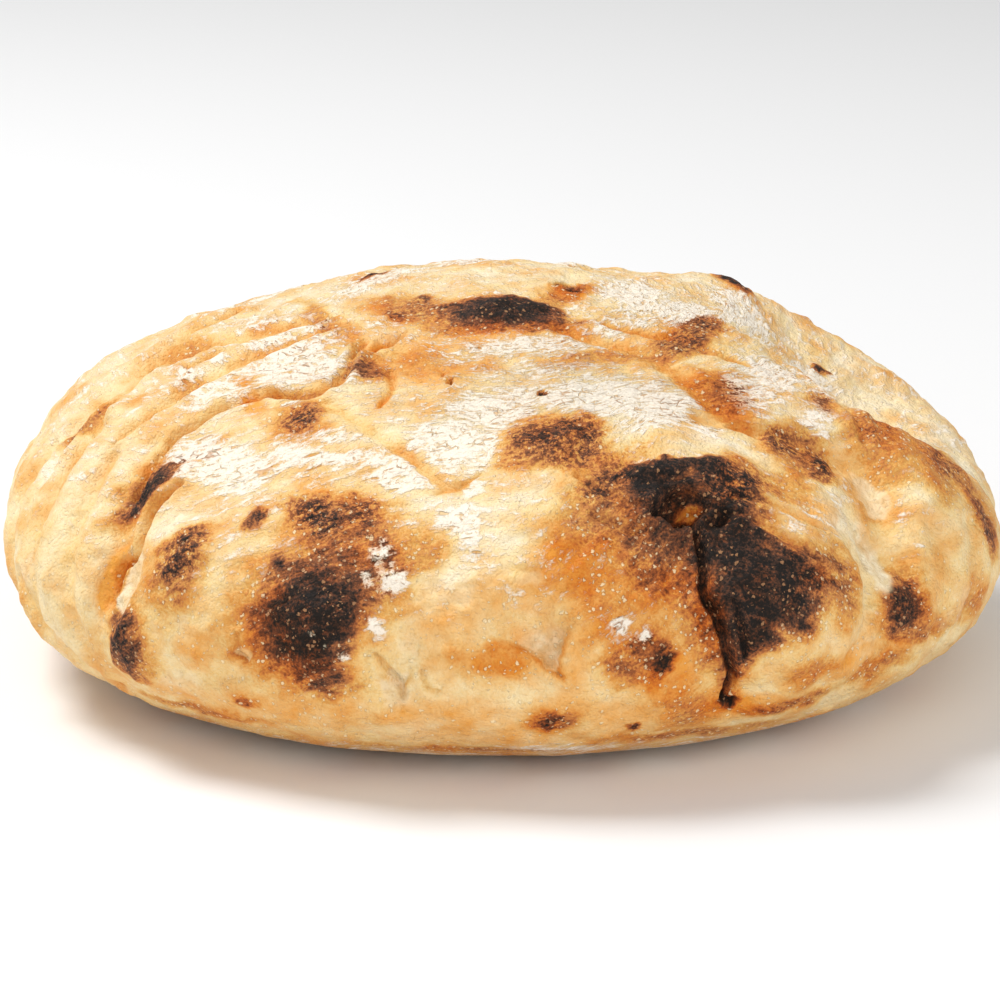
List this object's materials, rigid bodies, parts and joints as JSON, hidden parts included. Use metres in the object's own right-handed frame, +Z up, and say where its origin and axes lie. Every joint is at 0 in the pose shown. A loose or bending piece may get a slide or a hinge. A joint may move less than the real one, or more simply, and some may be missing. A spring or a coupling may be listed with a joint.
{
  "type": "bread roll",
  "caption": "Round rustic bread roll with a blistered, flour-dusted crust, baked as one piece; a prop, food or still-life part that rests on a small flat spot.",
  "frame": {"origin": "centre of the roll's outline, on the surface it rests on", "axes": "+Z up out of the crown; -Y is the front with the burst and the long crack; +X is the right, along the roll's greatest width"},
  "size_m": [0.14, 0.131, 0.055],
  "materials": {
    "crust": "baked bread crust, matte, cream to golden brown with charred blisters and white flour"
  },
  "bodies": {
    "root": {"bread_roll": "crust"}
  },
  "joints": []
}
